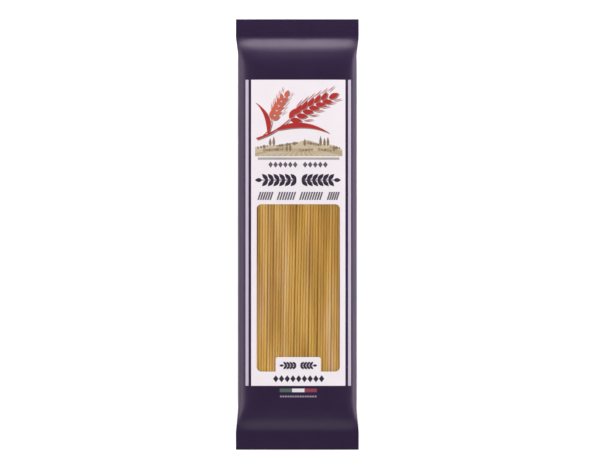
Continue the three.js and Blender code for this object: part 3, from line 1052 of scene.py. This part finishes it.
# %% Sizes of the strands
STRAND_DIAMETER = 1.8
STRAND_TOP_END = 129.0
STRAND_BOTTOM_END = -125.6
STRAND_SIDES = 14
STRAND_RINGS = 30
FILM_GAP = 0.3
TOP_STRANDS = 37
BUNDLE_HALF_WIDTH = 35.2
MIDDLE_STRAND = 18
LEAN_SHARE = 0.62
LEAN_SHIFT = 1.1
STATIONS = 5
WIDE_GAPS = {4: 0.4, 8: 1.1, 10: 0.8, 14: 0.35, 18: 2.3, 20: 0.3, 23: 1.1, 26: 0.7, 31: 0.4}
GAP_SINK = 0.6
LOOSENESS = 0.06
GAP_SPREAD = (0.4, 1.6)
CUT_SHARE = 0.0015
draw = random.Random(400)


def inside_front(x, y):
    """Height of the underside of the front film."""
    _, z = film_place(along_film(np.asarray(x)), np.asarray(y))
    return z - WAVE_DEPTH - FILM_THICKNESS - FILM_GAP


# %% Where the top strands lie
def top_places():
    """For each station along the packet, the x of every strand of the top layer."""
    looseness = [draw.uniform(0, LOOSENESS) + WIDE_GAPS.get(place, 0) for place in range(TOP_STRANDS)]
    stations = []
    for station in range(STATIONS):
        end = 2 * station / (STATIONS - 1) - 1
        gaps = []
        for place, slack in enumerate(looseness):
            side = 1 if place <= MIDDLE_STRAND else -1
            gaps.append(slack * draw.uniform(*GAP_SPREAD) * (1 + side * end * LEAN_SHARE))
        spare = 2 * BUNDLE_HALF_WIDTH - TOP_STRANDS * STRAND_DIAMETER
        scale = spare / sum(gaps)
        x = -BUNDLE_HALF_WIDTH + LEAN_SHIFT * end
        row = []
        for gap in gaps:
            x += gap * scale
            row.append(x + STRAND_DIAMETER / 2)
            x += STRAND_DIAMETER
        stations.append(row)
    return np.array(stations)


def smooth_between(values, share):
    """A smooth curve through evenly spaced values, read at a share of its length."""
    position = share * (len(values) - 1)
    left = min(int(position), len(values) - 2)
    a = values[max(left - 1, 0)]
    b, c = values[left], values[left + 1]
    d = values[min(left + 2, len(values) - 1)]
    t = position - left
    return b + 0.5 * t * (c - a + t * (2 * a - 5 * b + 4 * c - d + t * (3 * (b - c) + d - a)))


SHARES = [0, CUT_SHARE] + [i / STRAND_RINGS for i in range(1, STRAND_RINGS)] + [1 - CUT_SHARE, 1]
ALONG_PACKET = np.array([STRAND_BOTTOM_END + (STRAND_TOP_END - STRAND_BOTTOM_END) * s for s in SHARES])
places = top_places()
top_x = np.array([[smooth_between(places[:, number], s) for s in SHARES] for number in range(TOP_STRANDS)])
closest = np.min(np.diff(top_x, axis=0))
print(f"{TOP_STRANDS} strands on top, at least {closest:.2f} mm from centre to centre")

# %% [markdown]
# How the layers nest
#
# Round strands settle into the grooves of the layer below, like stacked pipes. A strand that lies in
# the groove between two others, a pitch apart, has its centre lower by the height of a triangle whose
# equal sides are one diameter, so every lower layer is found from the one above it. Under a wide gap no
# strand presses from the sides, so the one below is left lower, and the gap shows as a brown line.


# %% Heights of the three layers
LEAST_DROP = 0.55 * STRAND_DIAMETER
GAP_OPENS = (0.15, 0.7)
LAYER_GAP = 0.02
SINK_SPREAD = 0.12


def nested_under(x_above, z_above):
    """Places of the strands that lie in the grooves under a layer."""
    pitch = np.diff(x_above, axis=0)
    drop = np.sqrt(np.maximum(STRAND_DIAMETER**2 - (pitch / 2) ** 2, LEAST_DROP**2))
    x_under = (x_above[1:] + x_above[:-1]) / 2
    sink = GAP_SINK * smoothstep(pitch - STRAND_DIAMETER, *GAP_OPENS)
    z_under = np.minimum(z_above[1:], z_above[:-1]) - drop - sink - LAYER_GAP
    return x_under, z_under


sunk = np.array([[draw.uniform(0, SINK_SPREAD)] for _ in range(TOP_STRANDS)])
top_z = np.array([inside_front(row, ALONG_PACKET) for row in top_x]) - STRAND_DIAMETER / 2 - sunk
second_x, second_z = nested_under(top_x, top_z)
third_x, third_z = nested_under(second_x, second_z)
lowest_strand = float(third_z.min()) - STRAND_DIAMETER / 2
print(f"The lowest strand reaches down to {lowest_strand:.1f} mm above the table")

# %% Make the strands
CUT_ROUNDING = 0.82
END_SHIFT = (-1.2, 0.8)
LENGTH_LOSS = 0.006
THINNEST = 0.985
strand_vertices = []
strand_faces = []
ring_angles = [2 * math.pi * i / STRAND_SIDES for i in range(STRAND_SIDES)]


def add_strand(xs, ys, zs, radius):
    """One strand along a path in millimetres, with slightly rounded cut ends."""
    first = len(strand_vertices)
    for place, (x, y, z) in enumerate(zip(xs, ys, zs)):
        r = radius * (CUT_ROUNDING if place in (0, len(xs) - 1) else 1)
        for angle in ring_angles:
            strand_vertices.append(((x + r * math.cos(angle)) * MM, y * MM, (z + r * math.sin(angle)) * MM))
    strand_faces.extend(tube_faces(first, len(xs), STRAND_SIDES))


strand_count = 0
for layer_x, layer_z in ((top_x, top_z), (second_x, second_z), (third_x, third_z)):
    for xs, zs in zip(layer_x, layer_z):
        shift = draw.uniform(*END_SHIFT)
        stretch = 1 - draw.uniform(0, LENGTH_LOSS)
        radius = STRAND_DIAMETER / 2 * draw.uniform(THINNEST, 1.0)
        add_strand(xs, ALONG_PACKET * stretch + shift, zs, radius)
        strand_count += 1
print(f"{strand_count} strands, {len(strand_faces)} faces")

# %% [markdown]
# Dry pasta
#
# Durum pasta is a translucent amber yellow, a little paler where flour dusts it. Each strand differs
# slightly, and strands from one batch of dough lie together, so the tone also drifts across the bundle.
# One material does all strands. A random value for each separate strand of the mesh is mixed with a slow
# noise across the packet, and the two pick a tint from a ramp. A second slow noise makes whole groups of
# strands browner. Long soft streaks vary the strand along its length, and half of the light goes under
# the surface, which softens the grooves between strands.


# %% Which tint a strand has
BATCH_SHARE = 0.72


def strand_tint(tree, place, tints):
    """A tint from each strand's own random value, mixed with a slow noise across the packet."""
    one_strand = node(tree, "ShaderNodeNewGeometry", (-1300, 450))
    batch_place = node(tree, "ShaderNodeMapping", (-1300, 200), Scale=(1, 0.12, 1))
    batch = node(tree, "ShaderNodeTexNoise", (-1100, 200), Scale=80, Detail=1)
    batch_spread = node(tree, "ShaderNodeMapRange", (-900, 200), From_Min=0.34, From_Max=0.66)
    both = node(tree, "ShaderNodeMix", (-700, 350))
    both.inputs[0].default_value = BATCH_SHARE
    stops = [(number / (len(tints) - 1), tint) for number, tint in enumerate(tints)]
    ramp = colour_ramp(tree, (-500, 350), stops)
    wire(place, "Object", batch_place, "Vector")
    wire(batch_place, "Vector", batch, "Vector")
    wire(batch, "Fac", batch_spread, "Value")
    wire(one_strand, "Random Per Island", both, 2)
    wire(batch_spread, "Result", both, 3)
    wire(both, 0, ramp, "Fac")
    return ramp


# %% Groups of browner strands
BROWNED = (0.74, 0.66, 0.54, 1)
UNCHANGED = (1, 1, 1, 1)


def group_shade(tree, place):
    """A colour that darkens whole groups of strands and leaves the others unchanged."""
    group_place = node(tree, "ShaderNodeMapping", (-1300, 650), Location=(0.42, 0.1, 0), Scale=(1, 0.07, 1))
    group = node(tree, "ShaderNodeTexNoise", (-1100, 650), Scale=190, Detail=1)
    shade = colour_ramp(tree, (-900, 650), [(0.34, BROWNED), (0.62, UNCHANGED)])
    wire(place, "Object", group_place, "Vector")
    wire(group_place, "Vector", group, "Vector")
    wire(group, "Fac", shade, "Fac")
    return shade


# %% Pasta material
GLOW_RADIUS = (0.0014, 0.0011, 0.0008)


def pasta_material(name, tints, depth):
    material = bpy.data.materials.new(name)
    material.use_nodes = True
    tree = material.node_tree
    shader = tree.nodes["Principled BSDF"]
    place = node(tree, "ShaderNodeTexCoord", (-1500, 0))
    ramp = strand_tint(tree, place, tints)
    shade = group_shade(tree, place)
    long_way = node(tree, "ShaderNodeMapping", (-1300, -100), Scale=(1, 0.06, 1))
    streaks = node(tree, "ShaderNodeTexNoise", (-1100, -100), Scale=420, Detail=5, Roughness=0.65)
    pale = node(tree, "ShaderNodeMapRange", (-900, -100), From_Min=0.3, From_Max=0.75)
    set_inputs(pale, To_Min=0.92, To_Max=1.1)
    shaded = node(tree, "ShaderNodeVectorMath", (-350, 450))
    shaded.operation = "MULTIPLY"
    tint = node(tree, "ShaderNodeVectorMath", (-200, 200))
    tint.operation = "SCALE"
    grain = node(tree, "ShaderNodeTexNoise", (-1100, -400), Scale=2600, Detail=3)
    bump = node(tree, "ShaderNodeBump", (-350, -250), Strength=0.25, Distance=0.00004)
    wire(place, "Object", long_way, "Vector")
    wire(long_way, "Vector", streaks, "Vector")
    wire(long_way, "Vector", grain, "Vector")
    wire(streaks, "Fac", pale, "Value")
    wire(ramp, "Color", shaded, 0)
    wire(shade, "Color", shaded, 1)
    wire(shaded, "Vector", tint, 0)
    wire(pale, "Result", tint, "Scale")
    wire(tint, "Vector", shader, "Base Color")
    wire(grain, "Fac", bump, "Height")
    wire(bump, "Normal", shader, "Normal")
    set_inputs(shader, Roughness=0.5, Subsurface_Weight=depth)
    set_inputs(shader, Subsurface_Radius=GLOW_RADIUS, Subsurface_Scale=1)
    return material


PASTA_TINTS = [
    linear(217, 169, 58),
    linear(227, 182, 76),
    linear(237, 194, 102),
    linear(241, 202, 134),
    linear(247, 213, 168),
]
pasta = pasta_material("dry_pasta", PASTA_TINTS, 0.5)
strands = piece_from("spaghetti_strands", strand_vertices, strand_faces, [pasta])

# %% [markdown]
# The core
#
# Deeper in the packet nothing shows, so the rest of the bundle is one closed solid. Its rings are
# superellipses inside the film, and their tops lie under most of the third layer.

# %% Core of the bundle
CORE_INSET = 1.4
CORE_DEPTH = 3.1 * STRAND_DIAMETER
CORE_END = 1.0
CORE_RINGS = 40
CORE_SIDES = 72
core_rows = np.linspace(STRAND_BOTTOM_END + CORE_END, STRAND_TOP_END - CORE_END, CORE_RINGS)
core_around = np.linspace(0, 2 * np.pi, CORE_SIDES, endpoint=False)
core_vertices = []
for y in core_rows:
    rise, tuck = closing(np.array([y]))
    side = BODY_WIDTH / 2 - CORE_INSET - (BODY_WIDTH / 2 - SEAL_HALF + TUCK_DEPTH) * tuck[0]
    roof = float(inside_front(0.0, y)) - CORE_DEPTH - SEAL_PLANE
    floor = (BACK_DROP - SEAM_THICKNESS) * rise[0] - CORE_INSET
    for angle in core_around:
        cos, sin = math.cos(angle), math.sin(angle)
        x = side * math.copysign(abs(cos) ** (2 / BACK_POWER), cos)
        height = (roof if sin > 0 else floor) * math.copysign(abs(sin) ** (2 / BACK_POWER), sin)
        core_vertices.append((x * MM, y * MM, (SEAL_PLANE + height) * MM))
core_faces = tube_faces(0, CORE_RINGS, CORE_SIDES)
core = piece_from("spaghetti_core", core_vertices, core_faces, [pasta])
print(f"Core: {len(core_faces)} faces")

# %% [markdown]
# Everything faces outwards
#
# The film and the pane were listed facing outwards, because their thickness grows inwards from there.
# The tubes were listed in the order that was natural to write, so one pass turns their faces outwards
# for anyone who uses the meshes later.


# %% Turn faces outwards
def face_outwards(made):
    shape = bmesh.new()
    shape.from_mesh(made.data)
    bmesh.ops.recalc_face_normals(shape, faces=shape.faces)
    shape.to_mesh(made.data)
    shape.free()


for made in (back_seam, strands, core):
    face_outwards(made)
print("Faces turned outwards")

# %% [markdown]
# Table and light
#
# The photograph has a pure white ground with no shadow, a dark front face, grey light along both sides
# and one bright band on the shoulder below the top seal. A white ground without a shadow is a table lit
# from below, so the table glows a little. A flat satin face that looks straight up mirrors only what is
# above it, so nothing bright may show there: the sky is dark overhead, and the lamp that lights the
# front from above is hidden from reflections, as a polarising filter would do. The sides mirror what
# stands low around them, so soft boxes stand left and right. The shoulder mirrors a small strong one,
# low and close beyond the top end. A large one further off would light it in the same way, but seen from
# low in front, the whole face would mirror that one and its print would wash out. Table and lamps are
# placed in metres.

# %% White table
TABLE_RADIUS = 4.0
TABLE_SIDES = 96
TABLE_DROP = 0.0002
TABLE_GLOW = 0.5
table_mesh = bpy.data.meshes.new("table")
shape = bmesh.new()
bmesh.ops.create_circle(shape, cap_ends=True, radius=TABLE_RADIUS, segments=TABLE_SIDES)
shape.to_mesh(table_mesh)
shape.free()
table = bpy.data.objects.new("table", table_mesh)
table.location.z = -TABLE_DROP
bpy.context.scene.collection.objects.link(table)
paper = bpy.data.materials.new("white_table")
paper.use_nodes = True
paper_shader = paper.node_tree.nodes["Principled BSDF"]
set_inputs(paper_shader, Base_Color=(0.9, 0.9, 0.9, 1), Roughness=0.9)
set_inputs(paper_shader, Emission_Color=(1, 1, 1, 1), Emission_Strength=TABLE_GLOW)
table_mesh.materials.append(paper)

# %% Dome that is dark overhead
DOME_LEVELS = ((0.0, 1.0), (0.3, 0.7), (0.5, 0.25), (0.95, 0.12))
world = bpy.data.worlds.new("studio")
bpy.context.scene.world = world
world.use_nodes = True
tree = world.node_tree
background = tree.nodes["Background"]
place = node(tree, "ShaderNodeTexCoord", (-900, 0))
height = node(tree, "ShaderNodeSeparateXYZ", (-700, 0))
dome = colour_ramp(tree, (-500, 0), [(high, (level, level, level, 1)) for high, level in DOME_LEVELS])
dome.color_ramp.interpolation = "EASE"
wire(place, "Generated", height, "Vector")
wire(height, "Z", dome, "Fac")
wire(dome, "Color", background, "Color")
set_inputs(background, Strength=1.0)


# %% Soft boxes
def soft_box(name, place, size, radiance, mirrored=True):
    """A rectangle of light that faces the packet and that the camera can't see."""
    lamp = bpy.data.lights.new(name, "AREA")
    lamp.shape = "RECTANGLE"
    lamp.size, lamp.size_y = size
    lamp.energy = radiance * math.pi * size[0] * size[1]
    made = bpy.data.objects.new(name, lamp)
    made.location = place
    away = made.location.normalized()
    made.rotation_euler = away.to_track_quat("Z", "Y").to_euler()
    made.visible_camera = False
    made.visible_glossy = mirrored
    bpy.context.scene.collection.objects.link(made)


soft_box("box_left", place=(-1.0, 0, 0.5), size=(1.1, 0.6), radiance=2.3)
soft_box("box_right", place=(1.0, 0, 0.18), size=(1.1, 0.6), radiance=3.0)
soft_box("box_top", place=(0, 0.3, 0.037), size=(0.5, 0.043), radiance=7.3)
soft_box("box_overhead", place=(0, 0, 1.5), size=(3.2, 3.2), radiance=0.925, mirrored=False)
bpy.context.scene.view_settings.view_transform = "Standard"
bpy.context.scene.view_settings.look = "None"

# %% [markdown]
# Handing over
#
# Each piece rides on the packet's one body, and the solid of the imported model that it stands for is
# hidden.

# %% Ride and replace
for made, node_name, slot_name in (
    (wrap, "printed_film", "printed_film"),
    (back_seam, "printed_film", "printed_film"),
    (window_pane, "clear_window", "clear_film"),
    (strands, "spaghetti", "pasta"),
    (core, "spaghetti", "pasta"),
):
    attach(made, "root")
    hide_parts(node_name)
